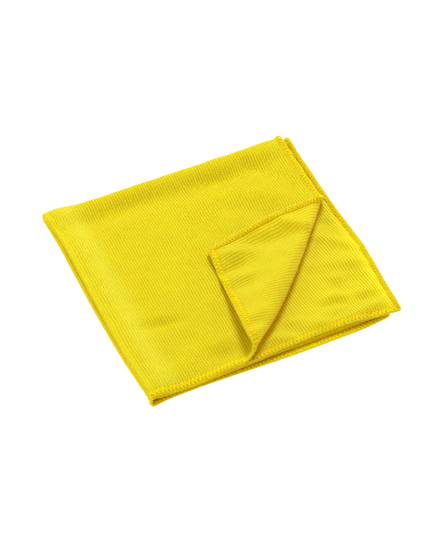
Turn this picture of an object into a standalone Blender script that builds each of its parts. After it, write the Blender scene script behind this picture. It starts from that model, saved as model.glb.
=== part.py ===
"""A knitted microfibre cloth, folded in quarters, with one corner of the top layer turned back.

The cloth is one square sheet with overlocked edges. It is folded in half over its left side and
in half again over its back side, so four layers lie on each other: the outer half of the cloth
makes layers 1 (top) and 4 (bottom), and the inner half makes layers 2 and 3 between them. The
front right corner of layer 1 is then turned back over a loose diagonal fold.

Metres, +Z up, -Y to the front. The origin is on the surface that the cloth lies on, under the
middle of its outline. Places in the tables are measured from a point near that middle.

Sheet coordinates: u runs across the cloth from the side crease, positive over the outer half.
v runs along it from the back crease, negative over the upper layers.
"""
import math

import bmesh
import bpy
import numpy as np

OBJECT_NAME = "microfibre_cloth"
NODE_NAME = "cloth"

# The cloth as it was cut
CLOTH_SIDE = 0.400
SHEET_THICKNESS = 0.0018
CREASE_OFF_CENTRE = 0.002          # the inner half is wider than the outer one by twice this
OUTER_HALF = CLOTH_SIDE / 2 - CREASE_OFF_CENTRE
INNER_HALF = CLOTH_SIDE / 2 + CREASE_OFF_CENTRE
BACK_HALF = CLOTH_SIDE / 2

# The stack of four layers
LAYER_PITCH = 0.0030               # from the middle of one layer to the middle of the next
SIDE_RADIUS = LAYER_PITCH / 2      # the side folds join neighbouring layers
OUTER_RADIUS = 3 * SIDE_RADIUS     # the back fold of layers 1 and 4
BOTTOM_MIDDLE = SHEET_THICKNESS / 2
STACK_MIDDLE = BOTTOM_MIDDLE + OUTER_RADIUS
TOP_MIDDLE = BOTTOM_MIDDLE + 2 * OUTER_RADIUS
INNER_FOLD_SLACK = 0.0008          # the inner back fold stops short of the outer one
OUTLINE_MIDDLE = (0.0020, 0.0023)  # middle of the outline that the tables below give

# Where the folds and edges lie, by the distance v from the back crease
EDGE_COLUMNS = ("v", "side_fold_x", "outer_right_x", "inner_right_x")
EDGE_TABLE = (
    (-0.200, -0.0957, 0.0950, 0.1005),
    (-0.180, -0.0969, 0.0962, 0.1012),
    (-0.160, -0.0976, 0.0972, 0.1024),
    (-0.115, -0.0973, 0.0972, 0.1034),
    (-0.090, -0.0968, 0.0967, 0.1019),
    (-0.060, -0.0958, 0.0957, 0.1016),
    (-0.030, -0.0955, 0.0955, 0.1018),
    (0.000, -0.0972, 0.0948, 0.1012),
    (0.030, -0.0967, 0.0955, 0.1000),
    (0.060, -0.0976, 0.0950, 0.0985),
    (0.115, -0.0988, 0.0930, 0.0955),
    (0.160, -0.0984, 0.0916, 0.0945),
    (0.200, -0.0962, 0.0932, 0.0950),
)

# Where the back fold and the four front edges lie, by x
RIM_COLUMNS = ("x", "back", "layer_1", "layer_2", "layer_3", "layer_4")
RIM_TABLE = (
    (-0.098, 0.1026, -0.0975, -0.0968, -0.0968, -0.0990),
    (-0.085, 0.1010, -0.0975, -0.0962, -0.0958, -0.0972),
    (-0.060, 0.0984, -0.0970, -0.0958, -0.0950, -0.0958),
    (-0.035, 0.0985, -0.0945, -0.0942, -0.0938, -0.0956),
    (-0.012, 0.0987, -0.0952, -0.0930, -0.0926, -0.0957),
    (0.010, 0.0990, -0.0975, -0.0912, -0.0912, -0.0958),
    (0.050, 0.0998, -0.0985, -0.0893, -0.0890, -0.0946),
    (0.070, 0.1006, -0.0980, -0.0897, -0.0893, -0.0937),
    (0.100, 0.1021, -0.0970, -0.0930, -0.0900, -0.0893),
)

# The corner that is turned back: its fold starts on the line between these places in layer 1,
# drawn in from there by "ease". "s" is the distance along that line.
FOLD_FRONT = (-0.0204, -0.0970)
FOLD_RIGHT = (0.0955, 0.0330)
FOLD_COLUMNS = ("s", "radius", "ease")
FOLD_TABLE = (
    (0.000, 0.0065, 0.0075),
    (0.040, 0.0062, 0.0008),
    (0.130, 0.0050, -0.0014),
    (0.174, 0.0042, 0.0003),
)
CORNER_REACH = 0.0635              # how far back from its fold the corner lies
CORNER_SLIDE = 0.0163              # and how far it has slid along the fold
CORNER_REST = 0.0023               # the corner lies this far above layer 1
CORNER_TIGHT_SHARE = 0.55          # creases in the corner start this far round its fold
SHOWS_FROM = 0.005                 # layer 2 has creases of its own from this far past the fold

# The stack is thicker at its folds than inside them
SETTLE_DEPTH = 0.0010
SETTLE_FROM = 0.005
SETTLE_LENGTH = 0.020

# Soft troughs and ridges: of the whole stack, of the turned corner, and of layer 2 where it shows
RELIEF_COLUMNS = ("x", "y", "length", "width", "turn_deg", "height")
STACK_RELIEF = (
    (-0.102, 0.000, 0.320, 0.007, 90.0, -0.0022),
    (-0.088, 0.000, 0.300, 0.008, 90.0, 0.0010),
    (0.010, 0.094, 0.240, 0.008, 0.5, 0.0022),
    (0.050, 0.078, 0.080, 0.009, 2.0, -0.0012),
    (-0.040, 0.079, 0.110, 0.009, 1.0, -0.0010),
    (0.058, 0.050, 0.070, 0.010, -30.0, 0.0016),
    (-0.050, -0.058, 0.046, 0.011, -62.0, -0.0013),
    (-0.034, -0.083, 0.030, 0.010, -10.0, -0.0008),
)
CORNER_RELIEF = (
    (0.052, 0.024, 0.110, 0.015, 12.0, 0.0050),
    (-0.008, -0.032, 0.055, 0.008, 83.0, -0.0018),
    (0.040, 0.000, 0.046, 0.009, -8.0, -0.0030),
    (0.066, 0.002, 0.038, 0.008, -42.0, 0.0024),
    (0.014, -0.002, 0.034, 0.008, -25.0, 0.0016),
    (0.028, -0.036, 0.080, 0.010, 42.0, 0.0024),
)
LAYER_2_RELIEF = (
    (0.050, -0.080, 0.095, 0.0080, 0.0, 0.0020),
    (0.089, -0.015, 0.034, 0.008, -45.0, 0.0020),
    (0.086, -0.036, 0.030, 0.008, -25.0, 0.0020),
    (0.078, -0.052, 0.030, 0.008, -20.0, -0.0007),
    (0.056, -0.072, 0.030, 0.008, -10.0, 0.0012),
)

# Grid lines, as (start, end, number of cells) along each side of the sheet: close together
# where the sheet bends, where layer 2 shows, and in the turned corner
SIDE_BEND = math.pi / 2 * SIDE_RADIUS
BACK_BEND = math.pi / 2 * OUTER_RADIUS
LAYER_2_SHOWS_U = -0.095
CORNER_FROM_U = 0.066
CORNER_FROM_V = -0.052
CREASED_TO_V = 0.048
U_LINES = (
    (-INNER_HALF, LAYER_2_SHOWS_U, 10),
    (LAYER_2_SHOWS_U, -SIDE_BEND, 4),
    (-SIDE_BEND, SIDE_BEND, 6),
    (SIDE_BEND, CORNER_FROM_U, 4),
    (CORNER_FROM_U, OUTER_HALF, 25),
)
V_LINES = (
    (-BACK_HALF, CORNER_FROM_V, 27),
    (CORNER_FROM_V, -BACK_BEND, 4),
    (-BACK_BEND, BACK_BEND, 8),
    (BACK_BEND, CREASED_TO_V, 4),
    (CREASED_TO_V, BACK_HALF, 5),
)

CLOTH_COLOUR = (0.84, 0.70, 0.01, 1.0)
CLOTH_ROUGHNESS = 0.9


def clear_scene():
    for item in list(bpy.data.objects):
        bpy.data.objects.remove(item, do_unlink=True)


def look_up(table, columns, key, where, name):
    """Read one column of a table along a smooth curve through its rows."""
    places = np.array([row[columns.index(key)] for row in table])
    values = np.array([row[columns.index(name)] for row in table])
    slopes = np.gradient(values, places)
    step = np.clip(np.searchsorted(places, where) - 1, 0, len(places) - 2)
    length = places[step + 1] - places[step]
    to = np.clip((where - places[step]) / length, 0.0, 1.0)
    back = 1 - to
    first = (1 + 2 * to) * values[step] + to * length * slopes[step]
    second = (1 + 2 * back) * values[step + 1] - back * length * slopes[step + 1]
    return back * back * first + to * to * second


def smooth_step(share):
    share = np.clip(share, 0.0, 1.0)
    return share * share * (3 - 2 * share)


def relief(table, x, y):
    """Sum of the soft troughs and ridges at x, y."""
    total = np.zeros_like(x)
    for row in table:
        crease = dict(zip(RELIEF_COLUMNS, row))
        turn = math.radians(crease["turn_deg"])
        along = (x - crease["x"]) * math.cos(turn) + (y - crease["y"]) * math.sin(turn)
        across = (y - crease["y"]) * math.cos(turn) - (x - crease["x"]) * math.sin(turn)
        spread = (2 * along / crease["length"]) ** 2 + (across / crease["width"]) ** 2
        total += crease["height"] * np.exp(-spread)
    return total


def settled(x, y, fold_x):
    """How much lower the stack lies inside its folds than at them."""
    from_side = smooth_step((x - fold_x - SETTLE_FROM) / SETTLE_LENGTH)
    back_y = look_up(RIM_TABLE, RIM_COLUMNS, "x", x, "back")
    from_back = smooth_step((back_y - y - SETTLE_FROM) / SETTLE_LENGTH)
    return SETTLE_DEPTH * from_side * from_back


def fold_side(u, v):
    """Fold the sheet over its left side: x, and w from the inner half (-) to the outer (+)."""
    turn = np.clip(u / SIDE_RADIUS, -math.pi / 2, math.pi / 2)
    w = SIDE_RADIUS * np.sin(turn)
    fold_x = look_up(EDGE_TABLE, EDGE_COLUMNS, "v", v, "side_fold_x")
    outer_x = look_up(EDGE_TABLE, EDGE_COLUMNS, "v", v, "outer_right_x")
    inner_x = look_up(EDGE_TABLE, EDGE_COLUMNS, "v", v, "inner_right_x")
    half = np.where(u > 0, OUTER_HALF, INNER_HALF)
    right_x = np.where(u > 0, outer_x, inner_x)
    share = np.maximum((np.abs(u) - SIDE_BEND) / (half - SIDE_BEND), 0.0)
    start = fold_x + SIDE_RADIUS
    x = fold_x + SIDE_RADIUS * (1 - np.cos(turn)) + share * (right_x - start)
    return x, w, fold_x


def fold_back(x, w, v):
    """Fold the doubled sheet over its back: y and z. The outer half goes round the inner."""
    outer = (w / SIDE_RADIUS + 1) / 2
    radius = 2 * SIDE_RADIUS + w
    turn = np.clip(v / radius, -math.pi / 2, math.pi / 2)
    rim = {name: look_up(RIM_TABLE, RIM_COLUMNS, "x", x, name) for name in RIM_COLUMNS[1:]}
    centre_y = rim["back"] - OUTER_RADIUS - INNER_FOLD_SLACK * (1 - outer)
    upper_y = rim["layer_1"] * outer + rim["layer_2"] * (1 - outer)
    lower_y = rim["layer_4"] * outer + rim["layer_3"] * (1 - outer)
    front_y = np.where(v < 0, upper_y, lower_y)
    bend = radius * math.pi / 2
    share = np.maximum((np.abs(v) - bend) / (BACK_HALF - bend), 0.0)
    y = centre_y + radius * np.cos(turn) - share * (centre_y - front_y)
    z = STACK_MIDDLE - radius * np.sin(turn)
    return y, z


def fold_line():
    """Start, direction, outward direction and length of the line where the corner's fold starts."""
    front = np.array(FOLD_FRONT)
    line = np.array(FOLD_RIGHT) - front
    length = float(np.hypot(line[0], line[1]))
    along = line / length
    return front, along, np.array((along[1], -along[0])), length


def past_fold(x, y):
    """For a place in layer 1: the distances along and past the corner's fold, and its ease."""
    front, along, out, _ = fold_line()
    s = (x - front[0]) * along[0] + (y - front[1]) * along[1]
    t = (x - front[0]) * out[0] + (y - front[1]) * out[1]
    ease = look_up(FOLD_TABLE, FOLD_COLUMNS, "s", s, "ease")
    return s, t + ease, ease


def turn_corner(x, y):
    """Turn the front right corner of layer 1 back: new x and y, and the height above layer 1."""
    front, along, out, _ = fold_line()
    s, t, ease = past_fold(x, y)
    radius = look_up(FOLD_TABLE, FOLD_COLUMNS, "s", s, "radius")
    corner_x = look_up(EDGE_TABLE, EDGE_COLUMNS, "v", np.array([-BACK_HALF]), "outer_right_x")[0]
    straight = (corner_x - front[0]) * out[0] - math.pi * radius

    bend = np.clip(t / radius, 0.0, math.pi)
    past = np.maximum(t - math.pi * radius, 0.0) / straight
    new_t = radius * np.sin(bend) - CORNER_REACH * past - ease
    new_s = s + CORNER_SLIDE * past
    drop = (2 * radius - CORNER_REST) * np.clip(past, 0.0, 1.0)
    height = radius * (1 - np.cos(bend)) - drop
    turned = t > 0
    new_x = np.where(turned, front[0] + new_s * along[0] + new_t * out[0], x)
    new_y = np.where(turned, front[1] + new_s * along[1] + new_t * out[1], y)
    loose = smooth_step((bend / math.pi - CORNER_TIGHT_SHARE) / (1 - CORNER_TIGHT_SHARE))
    return new_x, new_y, height, loose


def lay_middle(u, v):
    """Take the flat cloth's u, v to where the middle of the sheet lies."""
    x, w, fold_x = fold_side(u, v)
    y, z = fold_back(x, w, v)
    layer_1 = (u > SIDE_BEND) & (v < -BACK_BEND)
    layer_2 = (u < -SIDE_BEND) & (v < -SIDE_BEND)
    _, beyond, _ = past_fold(x, y)
    shows = np.where(layer_2, smooth_step(beyond / SHOWS_FROM), 0.0)
    turned_x, turned_y, height, loose = turn_corner(x, y)
    x = np.where(layer_1, turned_x, x)
    y = np.where(layer_1, turned_y, y)
    height = np.where(layer_1, height, 0.0)
    loose = np.where(layer_1, loose, 0.0)
    press = (z - BOTTOM_MIDDLE) / (TOP_MIDDLE - BOTTOM_MIDDLE)
    stack = relief(STACK_RELIEF, x, y) - settled(x, y, fold_x)
    z = z + press * stack + height
    z = z + loose * relief(CORNER_RELIEF, x, y) + shows * relief(LAYER_2_RELIEF, x, y)
    return np.stack((x - OUTLINE_MIDDLE[0], y - OUTLINE_MIDDLE[1], z), axis=1)


def grid_lines(runs):
    """Places of the grid lines, from (start, end, cells) runs that follow each other."""
    lines = [np.linspace(start, end, cells + 1)[:-1] for start, end, cells in runs]
    return np.append(np.concatenate(lines), runs[-1][1])


def cloth_material():
    material = bpy.data.materials.new("yellow_microfibre")
    material.use_nodes = True
    shader = material.node_tree.nodes["Principled BSDF"]
    shader.inputs["Base Color"].default_value = CLOTH_COLOUR
    shader.inputs["Roughness"].default_value = CLOTH_ROUGHNESS
    shader.inputs["Metallic"].default_value = 0.0
    return material


def make_cloth(collection):
    """The whole cloth: a flat grid, laid in its folds, with its thickness to both sides."""
    u_lines = grid_lines(U_LINES)
    v_lines = grid_lines(V_LINES)
    mesh = bpy.data.meshes.new(NODE_NAME)
    sheet = bmesh.new()
    bmesh.ops.create_grid(sheet, x_segments=len(u_lines) - 1, y_segments=len(v_lines) - 1, size=0.5)
    flat = np.array([vertex.co[:] for vertex in sheet.verts])
    u = np.interp(flat[:, 0] + 0.5, np.linspace(0, 1, len(u_lines)), u_lines)
    v = np.interp(flat[:, 1] + 0.5, np.linspace(0, 1, len(v_lines)), v_lines)
    for vertex, place in zip(sheet.verts, lay_middle(u, v)):
        vertex.co = place
    sheet.to_mesh(mesh)
    sheet.free()
    mesh.materials.append(cloth_material())

    cloth = bpy.data.objects.new(NODE_NAME, mesh)
    collection.objects.link(cloth)
    thickness = cloth.modifiers.new("thickness", "SOLIDIFY")
    thickness.thickness = SHEET_THICKNESS
    thickness.offset = 0.0
    return cloth


def main():
    clear_scene()
    collection = bpy.data.collections.new(OBJECT_NAME)
    bpy.context.scene.collection.children.link(collection)
    make_cloth(collection)


main()
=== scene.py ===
"""Looks of a yellow knitted microfibre cloth, folded in quarters, with one corner turned back.

Everything is first made flat, as a maker would lay it out: the ribbed knit and the overlock
seam along its edges. One function, lay(), then takes every point of the flat cloth to where it
lies in the folds, so that the knit and the seam bend together.

Flat coordinates: u runs across the cloth from the side crease, positive over the outer half
(layers 1 and 4 of the stack). v runs along it from the back crease, negative over the upper
layers (1 and 2). Lift is the height over the middle of the sheet, on its outer face.
Metres, +Z up, -Y to the front.
"""
import contextlib
import math

import bmesh
import bpy
import numpy as np
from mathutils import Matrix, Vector

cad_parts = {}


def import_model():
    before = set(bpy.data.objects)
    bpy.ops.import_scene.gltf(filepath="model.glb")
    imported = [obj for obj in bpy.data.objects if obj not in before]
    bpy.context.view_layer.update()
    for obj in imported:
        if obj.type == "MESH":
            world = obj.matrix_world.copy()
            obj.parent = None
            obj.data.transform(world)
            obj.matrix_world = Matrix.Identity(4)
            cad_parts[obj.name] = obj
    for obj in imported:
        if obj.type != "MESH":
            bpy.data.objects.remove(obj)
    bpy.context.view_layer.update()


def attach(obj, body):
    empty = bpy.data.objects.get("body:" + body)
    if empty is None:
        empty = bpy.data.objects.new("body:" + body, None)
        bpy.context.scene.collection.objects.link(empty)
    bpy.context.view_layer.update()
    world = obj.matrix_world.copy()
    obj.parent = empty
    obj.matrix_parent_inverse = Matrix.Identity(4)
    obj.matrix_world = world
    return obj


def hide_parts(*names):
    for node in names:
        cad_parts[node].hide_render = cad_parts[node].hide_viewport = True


# The cloth as it was cut
CLOTH_SIDE = 0.400
CREASE_OFF_CENTRE = 0.002          # the inner half is wider than the outer one by twice this
OUTER_HALF = CLOTH_SIDE / 2 - CREASE_OFF_CENTRE
INNER_HALF = CLOTH_SIDE / 2 + CREASE_OFF_CENTRE
BACK_HALF = CLOTH_SIDE / 2
CORNER_ROUNDING = 0.0028

# The stack of four layers
SHEET_THICKNESS = 0.0018
LAYER_PITCH = 0.0030
SIDE_RADIUS = LAYER_PITCH / 2
OUTER_RADIUS = 3 * SIDE_RADIUS
BOTTOM_MIDDLE = SHEET_THICKNESS / 2
STACK_MIDDLE = BOTTOM_MIDDLE + OUTER_RADIUS
TOP_MIDDLE = BOTTOM_MIDDLE + 2 * OUTER_RADIUS
INNER_FOLD_SLACK = 0.0008
OUTLINE_MIDDLE = (0.0020, 0.0023)
SIDE_BEND = math.pi / 2 * SIDE_RADIUS
BACK_BEND = math.pi / 2 * OUTER_RADIUS

# Where the folds and edges lie, by the distance v from the back crease. Here and in the next
# tables the first column says where a row holds, and a smooth curve joins the rows.
EDGE_COLUMNS = ("v", "side_fold_x", "outer_right_x", "inner_right_x")
EDGE_TABLE = (
    (-0.200, -0.0957, 0.0950, 0.1005),
    (-0.180, -0.0969, 0.0962, 0.1012),
    (-0.160, -0.0976, 0.0972, 0.1024),
    (-0.115, -0.0973, 0.0972, 0.1034),
    (-0.090, -0.0968, 0.0967, 0.1019),
    (-0.060, -0.0958, 0.0957, 0.1016),
    (-0.030, -0.0955, 0.0955, 0.1018),
    (0.000, -0.0972, 0.0948, 0.1012),
    (0.030, -0.0967, 0.0955, 0.1000),
    (0.060, -0.0976, 0.0950, 0.0985),
    (0.115, -0.0988, 0.0930, 0.0955),
    (0.160, -0.0984, 0.0916, 0.0945),
    (0.200, -0.0962, 0.0932, 0.0950),
)

# Where the back fold and the four front edges lie, by x
RIM_COLUMNS = ("x", "back", "layer_1", "layer_2", "layer_3", "layer_4")
RIM_TABLE = (
    (-0.098, 0.1026, -0.0975, -0.0968, -0.0968, -0.0990),
    (-0.085, 0.1010, -0.0975, -0.0962, -0.0958, -0.0972),
    (-0.060, 0.0984, -0.0970, -0.0958, -0.0950, -0.0958),
    (-0.035, 0.0985, -0.0945, -0.0942, -0.0938, -0.0956),
    (-0.012, 0.0987, -0.0952, -0.0930, -0.0926, -0.0957),
    (0.010, 0.0990, -0.0975, -0.0912, -0.0912, -0.0958),
    (0.050, 0.0998, -0.0985, -0.0893, -0.0890, -0.0946),
    (0.070, 0.1006, -0.0980, -0.0897, -0.0893, -0.0937),
    (0.100, 0.1021, -0.0970, -0.0930, -0.0900, -0.0893),
)

# The corner that is turned back: its fold starts on the line between these places in layer 1,
# drawn in from there by "ease". "s" is the distance along that line.
FOLD_FRONT = (-0.0204, -0.0970)
FOLD_RIGHT = (0.0955, 0.0330)
FOLD_COLUMNS = ("s", "radius", "ease")
FOLD_TABLE = (
    (0.000, 0.0065, 0.0075),
    (0.040, 0.0062, 0.0008),
    (0.130, 0.0050, -0.0014),
    (0.174, 0.0042, 0.0003),
)
CORNER_REACH = 0.0635              # how far back from its fold the corner lies
CORNER_SLIDE = 0.0163              # and how far it has slid along the fold
CORNER_REST = 0.0023               # the corner lies this far above layer 1
CORNER_TIGHT_SHARE = 0.55          # creases in the corner start this far round its fold
SHOWS_FROM = 0.005                 # layer 2 has creases of its own from this far past the fold

# Beside the side fold, the inner and outer layers swell by these shares, so that the fold is
# fuller than a plain bend
INNER_SWELL = 0.80
OUTER_SWELL = 0.10
SWELL_PLACE = 0.002                # from the fold
SWELL_REACH = 0.005

# The stack is thicker at its folds than inside them
SETTLE_DEPTH = 0.0010
SETTLE_FROM = 0.005
SETTLE_LENGTH = 0.020

# Soft troughs and ridges: of the whole stack, of the turned corner, and of layer 2 where it shows
RELIEF_COLUMNS = ("x", "y", "length", "width", "turn_deg", "height")
STACK_RELIEF = (
    (-0.102, 0.000, 0.320, 0.007, 90.0, -0.0022),
    (-0.099, 0.102, 0.030, 0.012, 0.0, -0.0020),
    (-0.066, -0.101, 0.070, 0.007, 0.0, -0.0030),
    (0.045, -0.098, 0.110, 0.010, 0.0, -0.0024),
    (-0.086, 0.000, 0.260, 0.010, 90.0, 0.0022),
    (0.010, 0.094, 0.240, 0.008, 0.5, 0.0029),
    (0.042, 0.078, 0.076, 0.008, 2.0, -0.0041),
    (-0.040, 0.079, 0.110, 0.009, 1.0, -0.0037),
    (0.070, 0.073, 0.036, 0.006, -50.0, -0.0026),
    (0.085, 0.086, 0.030, 0.006, -45.0, 0.0014),
    (0.058, 0.050, 0.070, 0.008, -30.0, 0.0026),
    (0.034, 0.044, 0.026, 0.006, -30.0, -0.0014),
    (0.055, 0.032, 0.026, 0.005, -30.0, -0.0010),
    (0.082, 0.048, 0.026, 0.006, 80.0, -0.0018),
    (-0.062, -0.037, 0.036, 0.004, -10.0, -0.0018),
    (-0.062, -0.029, 0.036, 0.004, -10.0, 0.0008),
    (-0.050, -0.058, 0.046, 0.009, -62.0, -0.0020),
    (-0.034, -0.083, 0.026, 0.007, -10.0, -0.0024),
    (-0.030, -0.070, 0.028, 0.006, -10.0, 0.0012),
    (-0.072, -0.080, 0.024, 0.008, 10.0, 0.0010),
    (-0.010, 0.020, 0.080, 0.014, 70.0, 0.0009),
    (-0.040, 0.010, 0.080, 0.010, 60.0, -0.0008),
)
CORNER_RELIEF = (
    (0.052, 0.024, 0.110, 0.015, 12.0, 0.0052),
    (-0.008, -0.024, 0.066, 0.007, 83.0, -0.0022),
    (0.040, 0.000, 0.046, 0.008, -8.0, -0.0050),
    (0.066, 0.002, 0.038, 0.005, -42.0, 0.0042),
    (0.014, -0.001, 0.030, 0.005, -15.0, 0.0042),
    (0.007, -0.013, 0.024, 0.005, -5.0, -0.0040),
    (0.006, -0.025, 0.030, 0.004, -12.0, 0.0020),
    (0.002, -0.034, 0.024, 0.004, -10.0, -0.0011),
    (0.004, -0.046, 0.030, 0.006, 10.0, 0.0016),
    (0.028, -0.036, 0.080, 0.008, 42.0, 0.0030),
    (0.000, -0.065, 0.020, 0.005, 10.0, 0.0016),
    (-0.003, -0.074, 0.014, 0.004, 10.0, -0.0018),
)
LAYER_2_RELIEF = (
    (0.050, -0.082, 0.095, 0.0065, 0.0, 0.0024),
    (0.089, -0.015, 0.034, 0.005, -45.0, 0.0034),
    (0.092, -0.034, 0.018, 0.004, -45.0, 0.0018),
    (0.088, 0.008, 0.014, 0.004, -30.0, -0.0014),
    (0.070, -0.030, 0.030, 0.006, -10.0, 0.0014),
    (0.088, -0.037, 0.022, 0.005, -25.0, 0.0032),
    (0.080, -0.050, 0.018, 0.005, -20.0, -0.0018),
    (0.073, -0.046, 0.016, 0.004, -20.0, 0.0022),
    (0.069, -0.055, 0.014, 0.004, -20.0, -0.0013),
    (0.059, -0.062, 0.014, 0.0035, -10.0, 0.0023),
    (0.055, -0.069, 0.014, 0.0030, -10.0, -0.0012),
    (0.068, -0.064, 0.014, 0.0030, -40.0, 0.0018),
    (0.064, -0.071, 0.014, 0.0030, -40.0, -0.0012),
    (0.084, -0.066, 0.018, 0.0035, -5.0, 0.0023),
    (0.081, -0.0735, 0.018, 0.0030, -5.0, -0.0012),
    (0.056, -0.074, 0.018, 0.0035, 0.0, 0.0023),
    (0.052, -0.081, 0.016, 0.0030, 0.0, -0.0012),
    (0.083, -0.082, 0.018, 0.0035, 10.0, 0.0022),
    (0.079, -0.0885, 0.014, 0.0030, 10.0, -0.0010),
    (0.042, -0.082, 0.018, 0.0035, 0.0, 0.0019),
    (0.028, -0.073, 0.022, 0.0040, -15.0, 0.0022),
    (0.023, -0.082, 0.018, 0.0040, -15.0, -0.0012),
    (0.010, -0.083, 0.016, 0.0040, -20.0, 0.0018),
)

# Slow, slight waves that no hand-folded cloth is without: in the stack, and in how the ribs run
WAVE_COLUMNS = ("height", "turns_x", "turns_y", "start")
STACK_WAVES = (
    (0.00016, 190.0, 60.0, 0.4),
    (0.00014, -80.0, 230.0, 1.9),
    (0.00010, 310.0, -140.0, 3.1),
    (0.00008, 120.0, 420.0, 5.0),
    (0.00006, 520.0, 260.0, 2.2),
)
RIB_WANDER = (
    (0.000220, 55.0, 140.0, 0.0),
    (0.000132, -210.0, 330.0, 1.0),
)

# The knit
RIBS = 194
RIB_PITCH = CLOTH_SIDE / RIBS
RIB_SAMPLES = 4                    # grid lines to a rib
RIB_HEIGHT = 0.00036
RIB_BREADTH = 0.25                 # makes the ribs broad and the grooves between them narrow
FOLD_STRETCH = 0.004               # the ribs are pulled flat this near the side fold
FOLD_FLATTENING = 0.8              # by this share of their height
FACE_TURN = 0.003                  # the ribs die away over this length where the inner face shows

# Grid lines along the ribs, as (start, end, number of cells). They are close together from the
# front edge to the back end of the turned corner's fold.
CLOSE_LINES_TO = -0.070
V_LINES = (
    (-BACK_HALF, CLOSE_LINES_TO, 64),
    (CLOSE_LINES_TO, -BACK_BEND, 22),
    (-BACK_BEND, BACK_BEND, 12),
    (BACK_BEND, BACK_HALF, 18),
)

# The run of the cloth's outline
CORNER_ARC = math.pi / 2 * CORNER_ROUNDING
STRAIGHT_RUN = CLOTH_SIDE - 2 * CORNER_ROUNDING
SIDE_RUN = STRAIGHT_RUN + CORNER_ARC
OUTLINE_LENGTH = 4 * SIDE_RUN

# The overlock seam round it. It reaches in from the outline by its width, and out by its
# overhang, and the threads' lines are distances out past the outline.
STITCHES_PER_SIDE = 133
STITCHES = 4 * STITCHES_PER_SIDE
STITCH_PITCH = OUTLINE_LENGTH / STITCHES
SEAM_WIDTH = 0.0046
SEAM_OVERHANG = 0.0008
SEAM_HALF_THICKNESS = 0.00100
SEAM_FLAT_SHARE = 0.35             # of that thickness, left at the needle line
SEAM_RISE_SHARE = 0.6              # it has its full thickness from this share of its width on
SEAM_SQUARENESS = 5                # how squarely its edge is rounded
NARROWER_ALONG_RIBS = 0.26         # by this share of its width
SEAM_SIDES = 14                    # faces round the roll
SEAM_ROWS = 4                      # to a stitch
SCALLOP = 0.025                    # the edge draws in between the stitches by this share
ROLL_MERGE = 0.00001               # points closer than this become one

# Its threads. Shares are of a stitch along the seam.
THREAD_RADIUS = 0.00034
THREAD_MERGE = 0.000002
ON_ROLL_SHARE = 0.97               # of the roll's half thickness, at which threads lie on it
NEEDLE_LINE = -SEAM_WIDTH + 0.0003
EDGE_LINE = SEAM_OVERHANG - 0.0006
LOOPER_POINTS = 10                 # to a stitch
LAP_OUTWARDS = 0.35 * THREAD_RADIUS  # over the roll, on the thread's way to the edge
LAP_INWARDS = 0.70 * THREAD_RADIUS   # and on its way back
NEEDLE_THREAD_LINE = NEEDLE_LINE - 0.0002
NEEDLE_STITCH = np.linspace(0.04, 0.96, 6)
NEEDLE_LIFT = 0.00012              # over the middle of the sheet
NEEDLE_RISE = 0.00035              # more in the middle of a stitch
NEEDLE_RADIUS = 0.9 * THREAD_RADIUS
EDGE_LOOP_TURN = 1.7               # radians each way round the edge
EDGE_LOOP_POINTS = 7
EDGE_LOOP_LEAN = 0.10              # each way
EDGE_LOOP_LINE = SEAM_OVERHANG - 0.0014
EDGE_LOOP_REACH = 0.00095          # out past that line
EDGE_LOOP_HEIGHT = 0.92 * (SEAM_HALF_THICKNESS + 0.8 * THREAD_RADIUS)
KNOT_PLACE = 0.14
KNOT_REACH = 0.10                  # each way along the seam
KNOT_LINE = SEAM_OVERHANG - 0.0009
KNOT_SLANT = 0.00020
KNOT_DIP = 0.00010                 # of its ends, towards the sheet
KNOT_LIFT = 0.8 * THREAD_RADIUS
KNOT_RADIUS = 0.75 * THREAD_RADIUS
BARE_SIDE = 1                      # no knots here: the front edge of the two lower layers

# The noise in the looks, as (scale, detail, roughness)
FIBRE_NOISE = (2600.0, 3.0, 0.7)
PATCH_NOISE = (55.0, 3.0, 0.6)
GRAIN_NOISE = (420.0, 2.0, 0.6)
WOBBLE_NOISE = (90.0, 1.0, 0.5)
THREAD_NOISE = (2200.0, 3.0, 0.7)

# The knit's looks, on the map of the flat cloth, which runs from 0 to 1 over its side
COURSES = 250                      # rows of knit loops over the cloth's length
BEAD_STAGGER = 0.5                 # of a course, between the beads of neighbouring ribs
BEAD_SLANT = 0.55                  # of a course, from one side of a rib to the other
BEAD_WOBBLE = 1.2                  # courses
INNER_FADE = (0.30, 0.48)          # the inner half's looks end between these places
INNER_SKEW = -0.128                # how far the ribs lean on it, for each length along
RIDGE_HIGHLIGHT_BAND = (0.548, 26)            # the place and steepness of a painted highlight on the ridge beside the side fold
SIDE_FOLD = (0.504, 60)            # the place of the fold, where the grooves are pulled open
GROOVE_WALL = (0.42, 0.95)         # the grooves deepen between these shares of half a rib
KNIT_BUMP = 0.00022

# The threads' looks, on the map of the seam, with a stitch to a unit along it
PLIES = (9, 6)                     # to a stitch, and to the seam's width
INNER_HOLES = (-0.62, 4)           # the place and steepness of a row of painted shade in the gaps between the stitches
OUTER_HOLES = (-0.22, 4)
THREAD_BUMP = 0.00012
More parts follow.
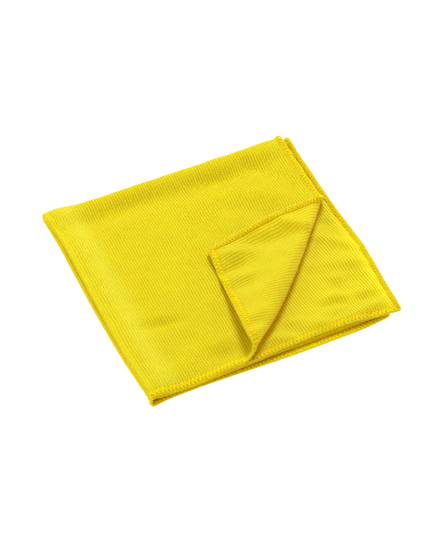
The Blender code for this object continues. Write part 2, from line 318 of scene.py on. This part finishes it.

# Colours
# The crest colour is a painted highlight; the groove colour is painted shade, and also the colour of
# random dark specks.
RIB_CREST = (0.893, 0.785, 0.022, 1.0)
RIB_FLANK = (0.877, 0.725, 0.008, 1.0)
GROOVE_SHADE_AND_DARK_SPECK = (0.695, 0.370, 0.001, 1.0)
GRAIN_AND_GLINT = (0.935, 0.925, 0.080, 1.0)
INNER_CREST = (0.950, 0.910, 0.032, 1.0)
# painted highlight for the ridge beside the side fold
RIDGE_HIGHLIGHT_PAINT = (1.000, 0.890, 0.090, 1.0)
THREAD_YELLOW = (0.920, 0.710, 0.006, 1.0)
THREAD_SHADE = (0.880, 0.565, 0.002, 1.0)
NEEDLE_YELLOW = (0.900, 0.500, 0.002, 1.0)
THREAD_PALE = (0.800, 0.640, 0.460, 1.0)
ROLL_YELLOW = (0.900, 0.640, 0.004, 1.0)
ROLL_SHADE = (0.850, 0.500, 0.001, 1.0)
SEAM_HOLE_SHADE = (0.770, 0.420, 0.001, 1.0)
YELLOW_GLOSS = (1.0, 0.97, 0.55, 1.0)
THROUGH_CLOTH = (1.000, 0.630, 0.002, 1.0)
THROUGH_SHARE = 0.32               # of the light, which passes the cloth in that colour
FLOOR_GREY = (0.25, 0.25, 0.25, 1.0)
WHITE = (1.0, 1.0, 1.0, 1.0)

# The setting: each softbox's name, place, side, power and colour, the surround and the floor
SOFTBOXES = (
    ("key_softbox", (0.66, 0.91, 1.62), 0.70, 43.8, (0.78, 1.0, 0.97)),
    ("front_softbox", (1.05, -0.90, 0.45), 0.9, 5.5, (0.80, 1.0, 0.35)),
    ("fill_softbox", (-1.3, 0.0, 0.7), 1.0, 13.0, (0.74, 1.0, 0.36)),
)
SURROUND_YELLOW = (1.0, 0.97, 0.20, 1.0)
SURROUND_STRENGTH = 0.36
FLOOR_REACH = 3.0                  # each way

# The photograph's view of the cloth, fitted to the outline of the folded square
PHOTO_SIZE = (443, 543)
FOCAL_PIXELS = 3231.0
VIEW_AZIMUTH = math.radians(-24.46)
VIEW_ELEVATION = math.radians(46.27)
VIEW_DISTANCE = 2.332
VIEW_CENTRE = (-0.0020, -0.0023, 0.0108)
CENTRE_IN_PHOTO = (219.5, 261.6)
SENSOR_WIDTH = 36.0

# Laying
FLAT_STEP = 0.00005                # for the slope of the laid sheet
FLOOR_GAP = 0.0001                 # what would lie lower than this is pressed flat by the floor
PRESSED_FLAT = 0.1                 # to this share of its depth


# --- Laying the flat cloth in its folds -------------------------------------------------------

def look_up(table, columns, where, name):
    """Read the named column of a table along a smooth curve through its rows."""
    places = np.array([row[0] for row in table])
    values = np.array([row[columns.index(name)] for row in table])
    slopes = np.gradient(values, places)
    step = np.clip(np.searchsorted(places, where) - 1, 0, len(places) - 2)
    length = places[step + 1] - places[step]
    to = np.clip((where - places[step]) / length, 0.0, 1.0)
    back = 1 - to
    first = (1 + 2 * to) * values[step] + to * length * slopes[step]
    second = (1 + 2 * back) * values[step + 1] - back * length * slopes[step + 1]
    return back * back * first + to * to * second


def smooth_step(share):
    """Take a share from 0 to 1 with a soft start and end."""
    share = np.clip(share, 0.0, 1.0)
    return share * share * (3 - 2 * share)


def relief(table, x, y):
    """Sum of the soft troughs and ridges at x, y."""
    total = np.zeros_like(x)
    for row in table:
        crease = dict(zip(RELIEF_COLUMNS, row))
        turn = math.radians(crease["turn_deg"])
        along = (x - crease["x"]) * math.cos(turn) + (y - crease["y"]) * math.sin(turn)
        across = (y - crease["y"]) * math.cos(turn) - (x - crease["x"]) * math.sin(turn)
        spread = (2 * along / crease["length"]) ** 2 + (across / crease["width"]) ** 2
        total += crease["height"] * np.exp(-spread)
    return total


def waves(table, x, y):
    """Sum of the waves at x, y."""
    total = np.zeros_like(x)
    for row in table:
        wave = dict(zip(WAVE_COLUMNS, row))
        total += wave["height"] * np.sin(wave["turns_x"] * x + wave["turns_y"] * y + wave["start"])
    return total


def settled(x, y, fold_x):
    """How much lower the stack lies inside its folds than at them."""
    from_side = smooth_step((x - fold_x - SETTLE_FROM) / SETTLE_LENGTH)
    back_y = look_up(RIM_TABLE, RIM_COLUMNS, x, "back")
    from_back = smooth_step((back_y - y - SETTLE_FROM) / SETTLE_LENGTH)
    return SETTLE_DEPTH * from_side * from_back


def fold_side(u, v):
    """Fold the sheet over its left side: x, w from inner half (-) to outer (+), and the fold's x."""
    turn = np.clip(u / SIDE_RADIUS, -math.pi / 2, math.pi / 2)
    w = SIDE_RADIUS * np.sin(turn)
    fold_x = look_up(EDGE_TABLE, EDGE_COLUMNS, v, "side_fold_x")
    outer_x = look_up(EDGE_TABLE, EDGE_COLUMNS, v, "outer_right_x")
    inner_x = look_up(EDGE_TABLE, EDGE_COLUMNS, v, "inner_right_x")
    half = np.where(u > 0, OUTER_HALF, INNER_HALF)
    right_x = np.where(u > 0, outer_x, inner_x)
    share = np.maximum((np.abs(u) - SIDE_BEND) / (half - SIDE_BEND), 0.0)
    start = fold_x + SIDE_RADIUS
    x = fold_x + SIDE_RADIUS * (1 - np.cos(turn)) + share * (right_x - start)
    swell = np.where(u > 0, OUTER_SWELL, INNER_SWELL)
    near_fold = np.exp(-((x - fold_x - SWELL_PLACE) / SWELL_REACH) ** 2)
    return x, w * (1 + swell * near_fold), fold_x


def fold_back(x, w, v):
    """Fold the doubled sheet over its back: y and z. The outer half goes round the inner."""
    outer = (w / SIDE_RADIUS + 1) / 2
    radius = 2 * SIDE_RADIUS + w
    turn = np.clip(v / radius, -math.pi / 2, math.pi / 2)
    rim = {name: look_up(RIM_TABLE, RIM_COLUMNS, x, name) for name in RIM_COLUMNS[1:]}
    centre_y = rim["back"] - OUTER_RADIUS - INNER_FOLD_SLACK * (1 - outer)
    upper_y = rim["layer_1"] * outer + rim["layer_2"] * (1 - outer)
    lower_y = rim["layer_4"] * outer + rim["layer_3"] * (1 - outer)
    front_y = np.where(v < 0, upper_y, lower_y)
    bend = radius * math.pi / 2
    share = np.maximum((np.abs(v) - bend) / (BACK_HALF - bend), 0.0)
    y = centre_y + radius * np.cos(turn) - share * (centre_y - front_y)
    z = STACK_MIDDLE - radius * np.sin(turn)
    return y, z


def fold_line():
    """Start, direction and outward direction of the line where the corner's fold starts."""
    front = np.array(FOLD_FRONT)
    line = np.array(FOLD_RIGHT) - front
    along = line / np.hypot(line[0], line[1])
    return front, along, np.array((along[1], -along[0]))


def past_fold(x, y):
    """For a place in layer 1: the distances along and past the corner's fold, and its ease."""
    front, along, out = fold_line()
    s = (x - front[0]) * along[0] + (y - front[1]) * along[1]
    t = (x - front[0]) * out[0] + (y - front[1]) * out[1]
    ease = look_up(FOLD_TABLE, FOLD_COLUMNS, s, "ease")
    return s, t + ease, ease


def turn_corner(x, y):
    """Turn layer 1's front right corner back: x, y, height above layer 1, and how loose it is."""
    front, along, out = fold_line()
    s, t, ease = past_fold(x, y)
    radius = look_up(FOLD_TABLE, FOLD_COLUMNS, s, "radius")
    corner_x = look_up(EDGE_TABLE, EDGE_COLUMNS, np.array([-BACK_HALF]), "outer_right_x")[0]
    straight = (corner_x - front[0]) * out[0] - math.pi * radius

    bend = np.clip(t / radius, 0.0, math.pi)
    past = np.maximum(t - math.pi * radius, 0.0) / straight
    new_t = radius * np.sin(bend) - CORNER_REACH * past - ease
    new_s = s + CORNER_SLIDE * past
    drop = (2 * radius - CORNER_REST) * np.clip(past, 0.0, 1.0)
    height = radius * (1 - np.cos(bend)) - drop
    turned = t > 0
    new_x = np.where(turned, front[0] + new_s * along[0] + new_t * out[0], x)
    new_y = np.where(turned, front[1] + new_s * along[1] + new_t * out[1], y)
    loose = smooth_step((bend / math.pi - CORNER_TIGHT_SHARE) / (1 - CORNER_TIGHT_SHARE))
    return new_x, new_y, height, loose


def lay_middle(u, v):
    """Take the flat cloth's u, v to where the middle of the sheet lies."""
    x, w, fold_x = fold_side(u, v)
    y, z = fold_back(x, w, v)
    layer_1 = (u > SIDE_BEND) & (v < -BACK_BEND)
    layer_2 = (u < -SIDE_BEND) & (v < -SIDE_BEND)
    _, beyond, _ = past_fold(x, y)
    shows = np.where(layer_2, smooth_step(beyond / SHOWS_FROM), 0.0)
    turned_x, turned_y, height, loose = turn_corner(x, y)
    x = np.where(layer_1, turned_x, x)
    y = np.where(layer_1, turned_y, y)
    height = np.where(layer_1, height, 0.0)
    loose = np.where(layer_1, loose, 0.0)
    press = (z - BOTTOM_MIDDLE) / (TOP_MIDDLE - BOTTOM_MIDDLE)
    stack = relief(STACK_RELIEF, x, y) + waves(STACK_WAVES, x, y) - settled(x, y, fold_x)
    z = z + press * stack + height
    z = z + loose * relief(CORNER_RELIEF, x, y) + shows * relief(LAYER_2_RELIEF, x, y)
    return np.stack((x - OUTLINE_MIDDLE[0], y - OUTLINE_MIDDLE[1], z), axis=1)


def lay(u, v, lift):
    """Take points of the flat cloth, lifted off its middle, to where they lie."""
    middle = lay_middle(u, v)
    across = lay_middle(u + FLAT_STEP, v) - lay_middle(u - FLAT_STEP, v)
    along = lay_middle(u, v + FLAT_STEP) - lay_middle(u, v - FLAT_STEP)
    normal = np.cross(across, along)
    normal /= np.linalg.norm(normal, axis=1)[:, None]
    points = middle + normal * lift[:, None]
    z = points[:, 2]
    points[:, 2] = np.where(z < FLOOR_GAP, FLOOR_GAP + (z - FLOOR_GAP) * PRESSED_FLAT, z)
    return points


# --- Meshes -----------------------------------------------------------------------------------

@contextlib.contextmanager
def editing(mesh):
    """The mesh as a bmesh, whose changes go back into it at the end."""
    edit = bmesh.new()
    edit.from_mesh(mesh)
    yield edit
    edit.to_mesh(mesh)
    edit.free()


def grid_mesh(name, columns, rows, reach=0.5):
    """A flat grid that reaches this far each way."""
    mesh = bpy.data.meshes.new(name)
    with editing(mesh) as edit:
        bmesh.ops.create_grid(edit, x_segments=columns, y_segments=rows, size=reach)
    return mesh


def merge_points(mesh, distance):
    with editing(mesh) as edit:
        bmesh.ops.remove_doubles(edit, verts=edit.verts, dist=distance)


def turn_outwards(mesh):
    with editing(mesh) as edit:
        bmesh.ops.recalc_face_normals(edit, faces=edit.faces)


def points_of(mesh):
    points = np.zeros(len(mesh.vertices) * 3, np.float32)
    mesh.vertices.foreach_get("co", points)
    return points.reshape(-1, 3).astype(float)


def move_points(mesh, points):
    mesh.vertices.foreach_set("co", points.astype(np.float32).ravel())
    mesh.update()


def set_map(mesh, name, first, second):
    """Give the mesh one UV map, from two values for each of its points."""
    for layer in list(mesh.uv_layers):
        mesh.uv_layers.remove(layer)
    corners = np.zeros(len(mesh.loops), np.int32)
    mesh.loops.foreach_get("vertex_index", corners)
    places = np.stack((first, second), axis=1)[corners]
    layer = mesh.uv_layers.new(name=name)
    layer.data.foreach_set("uv", places.astype(np.float32).ravel())


def new_piece(name, mesh, material):
    mesh.materials.clear()
    mesh.materials.append(material)
    mesh.shade_smooth()
    piece = bpy.data.objects.new(name, mesh)
    bpy.context.scene.collection.objects.link(piece)
    return piece


# --- The knit ---------------------------------------------------------------------------------

def grid_lines(runs):
    """Places of the grid lines, from (start, end, cells) runs that follow each other."""
    lines = [np.linspace(start, end, cells + 1)[:-1] for start, end, cells in runs]
    return np.append(np.concatenate(lines), runs[-1][1])


def round_corners(across, along):
    """Round the corners of the square, which reaches CLOTH_SIDE / 2 each way."""
    inner = CLOTH_SIDE / 2 - CORNER_ROUNDING
    a = np.maximum(np.abs(across) - inner, 0.0) / CORNER_ROUNDING
    b = np.maximum(np.abs(along) - inner, 0.0) / CORNER_ROUNDING
    in_corner = (a > 0) & (b > 0)
    new_a = np.sign(across) * (inner + CORNER_ROUNDING * a * np.sqrt(1 - b * b / 2))
    new_b = np.sign(along) * (inner + CORNER_ROUNDING * b * np.sqrt(1 - a * a / 2))
    return np.where(in_corner, new_a, across), np.where(in_corner, new_b, along)


def reverse_shows(u, v):
    """0 where the outer face of the cloth shows, and 1 where its inner face does."""
    x, w, _ = fold_side(u, v)
    y, _ = fold_back(x, w, v)
    _, t, _ = past_fold(x, y)
    corner = np.where((u > SIDE_BEND) & (v < -BACK_BEND), smooth_step(t / FACE_TURN + 1), 0.0)
    inner_half = smooth_step(-(u + SIDE_BEND) / FACE_TURN)
    return np.maximum(corner, inner_half)


def rib_lift(rib_place, u, v):
    """Height of the ribs. They die away on the inner face, and are flatter at the side fold."""
    turn = 2 * math.pi * (rib_place / RIB_PITCH)
    profile = np.cos(turn) - RIB_BREADTH * np.cos(2 * turn)
    outer_shows = np.maximum(1 - 2 * reverse_shows(u, v), 0.0)
    at_fold = np.exp(-(u / FOLD_STRETCH) ** 2)
    return RIB_HEIGHT * profile * outer_shows * (1 - FOLD_FLATTENING * at_fold)


def make_knit(material):
    """The ribbed sheet: a flat grid with a few lines to each rib, laid in the folds."""
    v_lines = grid_lines(V_LINES)
    mesh = grid_mesh("knit", RIBS * RIB_SAMPLES, len(v_lines) - 1)
    flat = points_of(mesh)
    rib_place = flat[:, 0] * CLOTH_SIDE
    line_place = np.interp(flat[:, 1] + 0.5, np.linspace(0, 1, len(v_lines)), v_lines)
    set_map(mesh, "FlatCloth", rib_place / CLOTH_SIDE + 0.5, line_place / CLOTH_SIDE + 0.5)
    across, along = round_corners(rib_place, line_place)
    from_edge = CLOTH_SIDE / 2 - np.abs(across)
    inside = smooth_step(from_edge / SEAM_WIDTH)
    u = across + waves(RIB_WANDER, across, along) * inside - CREASE_OFF_CENTRE
    reverse = mesh.attributes.new("reverse_shows", "FLOAT", "POINT")
    reverse.data.foreach_set("value", reverse_shows(u, along).astype(np.float32))
    move_points(mesh, lay(u, along, rib_lift(rib_place, u, along)))
    return new_piece("knit", mesh, material)


# --- The overlock seam ------------------------------------------------------------------------

def outline(s, out):
    """Flat place at the distance s round the cloth's outline and the distance out past it."""
    side = np.floor(s / SIDE_RUN)
    rest = s - side * SIDE_RUN
    inner = CLOTH_SIDE / 2 - CORNER_ROUNDING
    angle = np.maximum(rest - STRAIGHT_RUN, 0.0) / CORNER_ROUNDING
    run = np.minimum(rest, STRAIGHT_RUN)
    beside_rib = np.abs(np.cos(angle + side * math.pi / 2))
    reach = CORNER_ROUNDING + out * (1 - NARROWER_ALONG_RIBS * beside_rib)
    x = inner + reach * np.cos(angle)
    y = -inner + run + reach * np.sin(angle)
    turn = side * math.pi / 2
    return x * np.cos(turn) - y * np.sin(turn), x * np.sin(turn) + y * np.cos(turn)


def lay_along_seam(mesh):
    """A mesh whose x runs round the outline, y outwards and z off the sheet goes to its place."""
    s, out, z = points_of(mesh).T
    set_map(mesh, "SeamRun", s / STITCH_PITCH, out / SEAM_WIDTH)
    across, along = outline(s, out)
    move_points(mesh, lay(across - CREASE_OFF_CENTRE, along, z))
    turn_outwards(mesh)


def seam_half_thickness(out):
    """Half thickness of the seam at the distance out past the outline, which is negative inside."""
    share = np.clip((out + SEAM_WIDTH) / (SEAM_OVERHANG + SEAM_WIDTH), 0.0, 1.0)
    rise = SEAM_FLAT_SHARE + (1 - SEAM_FLAT_SHARE) * smooth_step(share / SEAM_RISE_SHARE)
    return SEAM_HALF_THICKNESS * rise * np.sqrt(1 - share ** SEAM_SQUARENESS)


def make_seam_roll(material):
    """The edge itself: the rolled cloth under the threads, a flat tube all round the outline."""
    mesh = grid_mesh("seam_roll", STITCHES * SEAM_ROWS, SEAM_SIDES)
    flat = points_of(mesh)
    s = (flat[:, 0] + 0.5) * OUTLINE_LENGTH
    angle = (flat[:, 1] + 0.5) * 2 * math.pi
    middle = (SEAM_OVERHANG - SEAM_WIDTH) / 2
    half_width = (SEAM_OVERHANG + SEAM_WIDTH) / 2
    scallop = 1 - SCALLOP * np.cos(2 * math.pi * s / STITCH_PITCH)
    out = middle + half_width * np.cos(angle)
    z = np.sign(np.sin(angle)) * seam_half_thickness(out) * scallop
    out += half_width * (1 + np.cos(angle)) * (scallop - 1)
    move_points(mesh, np.stack((s, out, z), axis=1))
    lay_along_seam(mesh)
    merge_points(mesh, ROLL_MERGE)
    turn_outwards(mesh)
    return new_piece("seam_roll", mesh, material)


def make_thread(name, runs, radius, material):
    """Thread as tubes along runs of (s, out, z) points, which are then laid along the seam."""
    curve = bpy.data.curves.new(name, "CURVE")
    curve.dimensions = "3D"
    curve.bevel_depth = radius
    curve.bevel_resolution = 1
    curve.use_fill_caps = True
    for run in runs:
        spline = curve.splines.new("POLY")
        spline.points.add(len(run) - 1)
        spline.points.foreach_set("co", np.column_stack((run, np.ones(len(run)))).ravel())
    thread = bpy.data.objects.new(name, curve)
    bpy.context.scene.collection.objects.link(thread)
    bpy.context.view_layer.update()
    seen = thread.evaluated_get(bpy.context.evaluated_depsgraph_get())
    mesh = bpy.data.meshes.new_from_object(seen)
    bpy.data.objects.remove(thread, do_unlink=True)
    bpy.data.curves.remove(curve)
    mesh.name = name
    merge_points(mesh, THREAD_MERGE)
    lay_along_seam(mesh)
    return new_piece(name, mesh, material)


def repeat_stitch(stitch, numbers=range(STITCHES)):
    """A run for each stitch of these numbers, from one as (share of the pitch, out, z) points."""
    runs = []
    for number in numbers:
        run = np.array(stitch)
        run[:, 0] = (run[:, 0] + number) * STITCH_PITCH
        runs.append(run)
    return runs


def over_roll(out, extra):
    """Height of a thread's middle over the sheet, lying on the roll."""
    return float(seam_half_thickness(np.array(out)) * ON_ROLL_SHARE + extra)


def make_loopers(material):
    """The looper threads: over each face a zigzag between the needle line and the edge."""
    runs = []
    for face in (1, -1):
        stitch = []
        for t in np.linspace(0, 1, LOOPER_POINTS, endpoint=False):
            reach = 1 - abs(2 * t - 1)
            out = NEEDLE_LINE + (EDGE_LINE - NEEDLE_LINE) * reach
            lap = LAP_OUTWARDS if t < 0.5 else LAP_INWARDS
            stitch.append((t, out, face * over_roll(out, lap)))
        runs.append(np.concatenate(repeat_stitch(stitch)))
    return make_thread("looper_threads", runs, THREAD_RADIUS, material)


def make_needle_line(material):
    """The needle thread: short stitches in a line along the inside of the seam, on both faces."""
    runs = []
    for face in (1, -1):
        stitch = []
        for t in NEEDLE_STITCH:
            rise = math.sqrt(math.sin(math.pi * t))
            stitch.append((t, NEEDLE_THREAD_LINE, face * (NEEDLE_LIFT + NEEDLE_RISE * rise)))
        runs.append(np.concatenate(repeat_stitch(stitch)))
    return make_thread("needle_thread", runs, NEEDLE_RADIUS, material)


def make_edge_loops(material):
    """The loops that lock the stitches round the very edge, one to a stitch."""
    stitch = []
    for t in np.linspace(-1, 1, EDGE_LOOP_POINTS):
        angle = t * EDGE_LOOP_TURN
        out = EDGE_LOOP_LINE + EDGE_LOOP_REACH * math.cos(angle)
        stitch.append((0.5 + EDGE_LOOP_LEAN * t, out, EDGE_LOOP_HEIGHT * math.sin(angle)))
    return make_thread("edge_loops", repeat_stitch(stitch), THREAD_RADIUS, material)


def make_pale_knots(material):
    """The short pale bits of thread between the stitches on the inner face, on three sides."""
    stitch = []
    for t in (-1, 0, 1):
        out = KNOT_LINE + KNOT_SLANT * t
        z = KNOT_DIP * t * t - over_roll(out, KNOT_LIFT)
        stitch.append((KNOT_PLACE + KNOT_REACH * t, out, z))
    knotted = [number for number in range(STITCHES) if number // STITCHES_PER_SIDE != BARE_SIDE]
    return make_thread("pale_knots", repeat_stitch(stitch, knotted), KNOT_RADIUS, material)


# --- Materials --------------------------------------------------------------------------------

class Signal:
    """A shader value that is added, multiplied and so on as a number is in Python."""

    def __init__(self, shader, socket):
        self.shader = shader
        self.socket = socket

    def apply(self, operation, *values):
        return self.shader.node("ShaderNodeMath", dict(enumerate(values)), operation=operation)

    def __add__(self, other):
        return self.apply("ADD", self, other)

    def __sub__(self, other):
        return self.apply("SUBTRACT", self, other)

    def __rsub__(self, other):
        return self.apply("SUBTRACT", other, self)

    def __mul__(self, other):
        return self.apply("MULTIPLY", self, other)

    __radd__ = __add__
    __rmul__ = __mul__

    def absolute(self):
        return self.apply("ABSOLUTE", self)

    def fraction(self):
        return self.apply("FRACT", self)

    def floor(self):
        return self.apply("FLOOR", self)

    def wave(self):
        """A smooth wave between 0 and 1, one to a unit."""
        return self.apply("SINE", self * (2 * math.pi)) * 0.5 + 0.5

    def near(self, place, steepness):
        """1 at this place, and less by this much for each unit away from it."""
        return 1 - (self - place).absolute() * steepness

    def between(self, low, high):
        """0 below low, 1 above high, and smooth between them."""
        return self.shader.node(
            "ShaderNodeMapRange",
            {"Value": self, "From Min": low, "From Max": high},
            interpolation_type="SMOOTHSTEP",
        )


class Shader:
    """A Principled material, whose nodes are all added by one method."""

    def __init__(self, name):
        self.material = bpy.data.materials.new(name)
        self.material.use_nodes = True
        self.tree = self.material.node_tree
        self.surface = self.tree.nodes["Principled BSDF"]

    def fill(self, node, values):
        """Set a node's sockets, or link them to what is a signal."""
        for key, value in values.items():
            socket = node.inputs[key]
            if isinstance(value, Signal):
                self.tree.links.new(value.socket, socket)
            else:
                socket.default_value = value

    def node(self, kind, values=None, output=0, **settings):
        node = self.tree.nodes.new(kind)
        for key, value in settings.items():
            setattr(node, key, value)
        self.fill(node, values or {})
        return Signal(self, node.outputs[output])

    def mix(self, share, first, second):
        """Two colours, mixed by the share of the second."""
        return self.node("ShaderNodeMix", {0: share, 6: first, 7: second}, 2, data_type="RGBA")

    def map_of(self, name):
        """A UV map, and each of its two coordinates."""
        flat = self.node("ShaderNodeUVMap", uv_map=name)
        first = self.node("ShaderNodeSeparateXYZ", {"Vector": flat}, "X")
        second = self.node("ShaderNodeSeparateXYZ", {"Vector": flat}, "Y")
        return flat, first, second

    def noise(self, vector, scale, detail, roughness):
        return self.node(
            "ShaderNodeTexNoise",
            {"Vector": vector, "Scale": scale, "Detail": detail, "Roughness": roughness},
        )

    def bump(self, strength, distance, height):
        return self.node(
            "ShaderNodeBump", {"Strength": strength, "Distance": distance, "Height": height}
        )

    def finish(self, values, through=None):
        """Set the surface; with through, a share of the light passes the cloth in that colour."""
        self.fill(self.surface, values)
        if through:
            front = Signal(self, self.surface.outputs["BSDF"])
            behind = self.node("ShaderNodeBsdfTranslucent", {"Color": through})
            both = self.node("ShaderNodeMixShader", {0: THROUGH_SHARE, 1: front, 2: behind})
            self.fill(self.tree.nodes["Material Output"], {"Surface": both})
        return self.material


def knit_material():
    """Ribs of small loops with a staggered bead for each loop: crests painted lighter, grooves
    painted ochre with shade.
    """
    shader = Shader("microfibre_knit")
    flat, across, along = shader.map_of("FlatCloth")
    place = shader.node("ShaderNodeTexCoord", output="Object")
    fibre = shader.noise(place, *FIBRE_NOISE)
    patch = shader.noise(place, *PATCH_NOISE)
    grain = shader.noise(flat, *GRAIN_NOISE)
    wobble = shader.noise(flat, *WOBBLE_NOISE) - 0.5
    reverse = shader.node("ShaderNodeAttribute", output="Fac", attribute_name="reverse_shows")
    inner_half = 1 - across.between(*INNER_FADE)
    ridge_highlight = across.near(*RIDGE_HIGHLIGHT_BAND).between(0.0, 1.0)
    at_fold = across.near(*SIDE_FOLD).between(0.0, 0.5)

    rib = (across + inner_half * INNER_SKEW * (along - 0.5)) * RIBS + 0.5
    from_crest = (rib.fraction() - 0.5).absolute() * 2
    stagger = rib.floor() * BEAD_STAGGER
    slant = rib.fraction() * BEAD_SLANT
    bead = (along * COURSES + stagger + slant + wobble * BEAD_WOBBLE).wave()
    groove = (from_crest + 0.06 * reverse).between(*GROOVE_WALL) * (1 - 0.75 * at_fold)
    crest = 1 - groove

    # Painted shade: the grooves, and the gaps between the beads, are darkened where shade falls in
    # them.
    groove_shade = groove * (0.66 + 0.14 * bead + 0.14 * reverse + 0.12 * inner_half)
    bead_gap_shade = (1 - bead) * (0.24 + 0.30 * reverse)
    # Random pale specks, partly the knit's own grain and partly painted glints, laid only on the
    # crests.
    grain_and_glint_specks = grain.between(0.50, 0.68) * (0.60 + 0.10 * reverse) + 0.24 * reverse
    dark_specks = (1 - grain).between(0.52, 0.70) * 0.30
    # Painted highlight: the crests are painted lighter and paler than the flanks.
    colour = shader.mix(from_crest.between(0.0, 0.75), RIB_CREST, RIB_FLANK)
    colour = shader.mix(groove_shade, colour, GROOVE_SHADE_AND_DARK_SPECK)
    colour = shader.mix(bead_gap_shade, colour, GROOVE_SHADE_AND_DARK_SPECK)
    colour = shader.mix(grain_and_glint_specks * crest, colour, GRAIN_AND_GLINT)
    colour = shader.mix(dark_specks, colour, GROOVE_SHADE_AND_DARK_SPECK)
    colour = shader.mix(fibre.between(0.45, 0.75) * 0.25, colour, RIB_CREST)
    colour = shader.mix(patch.between(0.40, 0.70) * 0.35, colour, RIB_FLANK)
    colour = shader.mix(inner_half * crest * 0.50, colour, INNER_CREST)
    # Painted highlight: the ridge beside the side fold is painted lighter and paler, for the light
    # it catches.
    colour = shader.mix(ridge_highlight * 0.38, colour, RIDGE_HIGHLIGHT_PAINT)

    height = bead * crest * 0.7 + fibre * 0.5 + (0.4 * reverse + 0.8 * inner_half) * crest
    return shader.finish({
        "Base Color": colour,
        "Roughness": 0.92 - 0.12 * bead,
        "Normal": shader.bump(0.8, KNIT_BUMP, height),
        "Specular IOR Level": 0.30,
        "Specular Tint": YELLOW_GLOSS,
        "Sheen Weight": 0.15,
        "Sheen Roughness": 0.45,
        "Sheen Tint": YELLOW_GLOSS,
    }, through=THROUGH_CLOTH)


def thread_material(name, light, dark, holes=False):
    """Spun thread with fine slanting plies. With holes, painted shade darkens the gaps between the
    stitches.
    """
    shader = Shader(name)
    _, run, width = shader.map_of("SeamRun")
    place = shader.node("ShaderNodeTexCoord", output="Object")
    fibre = shader.noise(place, *THREAD_NOISE)
    ply = (run * PLIES[0] + width * PLIES[1] + fibre * 0.6).wave()
    colour = shader.mix(ply * 0.20, light, dark)
    colour = shader.mix(fibre.between(0.40, 0.75) * 0.25, colour, dark)
    if holes:
        # Painted shade in the gaps between the stitches, in two rows.
        from_middle = (run.fraction() - 0.5).absolute()
        inner = width.near(*INNER_HOLES).between(0.0, 0.6) * (0.35 - from_middle).between(0.0, 0.2)
        outer = width.near(*OUTER_HOLES).between(0.0, 0.6) * (from_middle - 0.15).between(0.0, 0.2)
        colour = shader.mix(inner, colour, SEAM_HOLE_SHADE)
        colour = shader.mix(outer, colour, SEAM_HOLE_SHADE)
    return shader.finish({
        "Base Color": colour,
        "Roughness": 0.62 + 0.25 * fibre,
        "Normal": shader.bump(0.6, THREAD_BUMP, ply + fibre),
        "Specular IOR Level": 0.25,
        "Specular Tint": YELLOW_GLOSS,
    })


def floor_material():
    """It glows, so that it stays white all over."""
    return Shader("pale_floor").finish({
        "Base Color": FLOOR_GREY,
        "Roughness": 0.9,
        "Specular IOR Level": 0.1,
        "Emission Color": WHITE,
        "Emission Strength": 1.0,
    })


# --- The setting ------------------------------------------------------------------------------

def make_floor():
    floor = new_piece("floor", grid_mesh("floor", 1, 1, FLOOR_REACH), floor_material())


def make_camera():
    """The camera looks past the cloth's centre by as much as the photograph's framing needs."""
    back = Vector((
        math.sin(VIEW_AZIMUTH) * math.cos(VIEW_ELEVATION),
        -math.cos(VIEW_AZIMUTH) * math.cos(VIEW_ELEVATION),
        math.sin(VIEW_ELEVATION),
    ))
    right = Vector((math.cos(VIEW_AZIMUTH), math.sin(VIEW_AZIMUTH), 0.0))
    up = back.cross(right)
    metres_per_pixel = VIEW_DISTANCE / FOCAL_PIXELS
    aim = (
        Vector(VIEW_CENTRE)
        + right * (PHOTO_SIZE[0] / 2 - CENTRE_IN_PHOTO[0]) * metres_per_pixel
        - up * (PHOTO_SIZE[1] / 2 - CENTRE_IN_PHOTO[1]) * metres_per_pixel
    )
    camera = bpy.data.objects.new("camera", bpy.data.cameras.new("camera"))
    camera.location = Vector(VIEW_CENTRE) + back * VIEW_DISTANCE
    camera.rotation_euler = (aim - camera.location).to_track_quat("-Z", "Y").to_euler()
    camera.data.sensor_width = SENSOR_WIDTH
    camera.data.lens = FOCAL_PIXELS * SENSOR_WIDTH / max(PHOTO_SIZE)
    bpy.context.scene.collection.objects.link(camera)
    bpy.context.scene.camera = camera


def make_softbox(name, place, side, power, colour):
    """A square light that faces the cloth."""
    light = bpy.data.objects.new(name, bpy.data.lights.new(name, "AREA"))
    light.data.shape = "SQUARE"
    light.data.size = side
    light.data.energy = power
    light.data.color = colour
    light.location = place
    light.rotation_euler = (-Vector(place)).to_track_quat("-Z", "Y").to_euler()
    bpy.context.scene.collection.objects.link(light)


def make_lights():
    """A softbox behind and above the cloth, weak ones beside and before it, and a dim surround."""
    for softbox in SOFTBOXES:
        make_softbox(*softbox)
    world = bpy.data.worlds.new("surround")
    world.use_nodes = True
    background = world.node_tree.nodes["Background"]
    background.inputs["Color"].default_value = SURROUND_YELLOW
    background.inputs["Strength"].default_value = SURROUND_STRENGTH
    bpy.context.scene.world = world
    bpy.context.scene.view_settings.view_transform = "Standard"


def main():
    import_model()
    make_camera()
    make_lights()
    make_floor()

    yellow_thread = thread_material("yellow_thread", THREAD_YELLOW, THREAD_SHADE)
    needle_thread = thread_material("needle_yellow", NEEDLE_YELLOW, THREAD_SHADE)
    pale_thread = thread_material("pale_thread", THREAD_PALE, THREAD_PALE)
    knit = make_knit(knit_material())
    seam = [
        make_seam_roll(thread_material("seam_edge", ROLL_YELLOW, ROLL_SHADE, holes=True)),
        make_loopers(yellow_thread),
        make_needle_line(needle_thread),
        make_edge_loops(yellow_thread),
        make_pale_knots(pale_thread),
    ]
    for piece in (knit, *seam):
        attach(piece, "root")
    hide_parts("cloth")


main()
